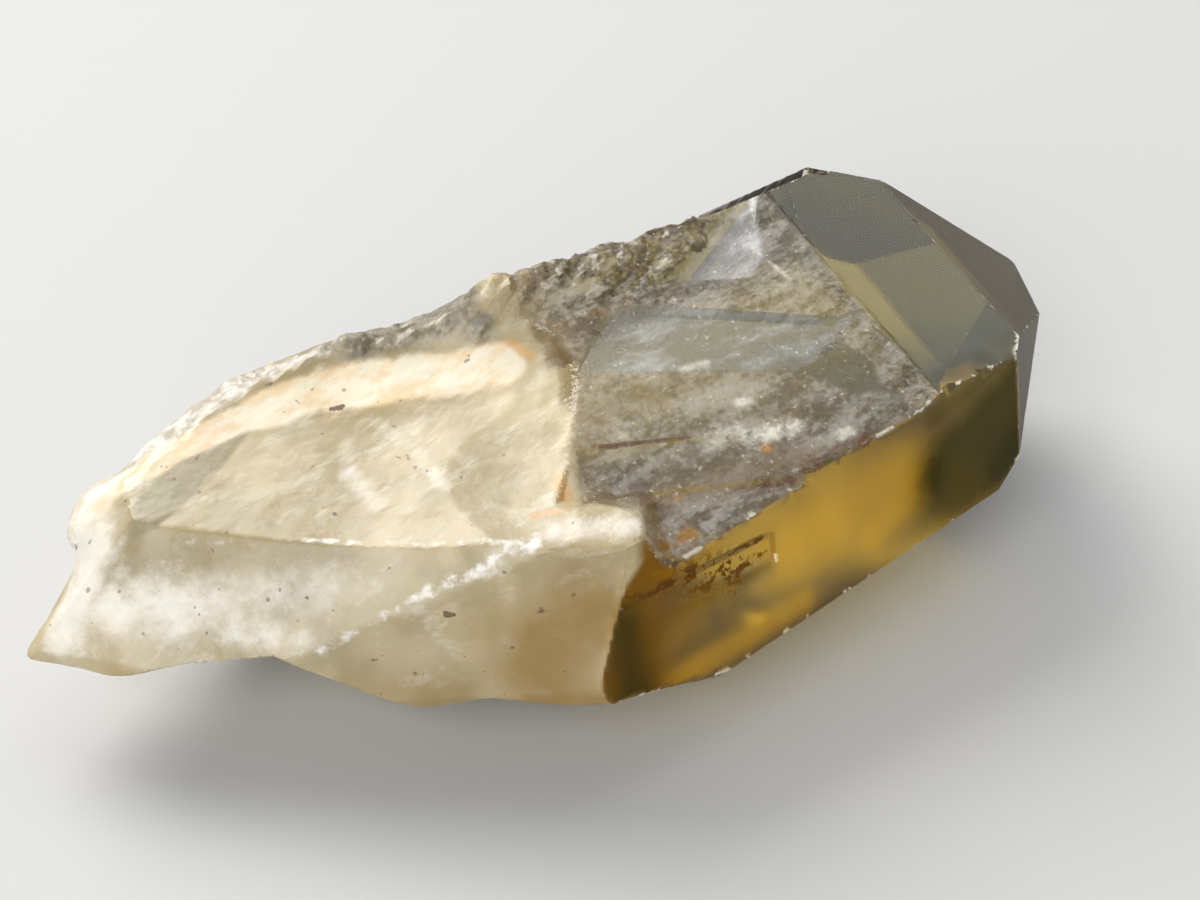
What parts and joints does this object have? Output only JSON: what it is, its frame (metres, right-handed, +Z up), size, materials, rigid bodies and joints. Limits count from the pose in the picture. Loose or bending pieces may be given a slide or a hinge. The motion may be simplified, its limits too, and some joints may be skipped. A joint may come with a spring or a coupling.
{
  "type": "citrine crystal",
  "caption": "Natural citrine: a six-sided pointed prism, clear smoky gold at the point and milky at its broken root, lying on its side as a display specimen.",
  "frame": {"origin": "Bottom centre of the bounding box, on the plane the stone rests on.", "axes": "+X along the crystal's long axis toward its point, -X toward the milky root, -Y the front with the golden side face, +Z up from the resting face."},
  "size_m": [0.0818, 0.0346, 0.0261],
  "materials": {
    "citrine": "glassy natural crystal faces and uneven breaks, see-through smoky gold at the point, cloudy cream at the root"
  },
  "bodies": {
    "root": {"citrine_crystal": "citrine"}
  },
  "joints": []
}
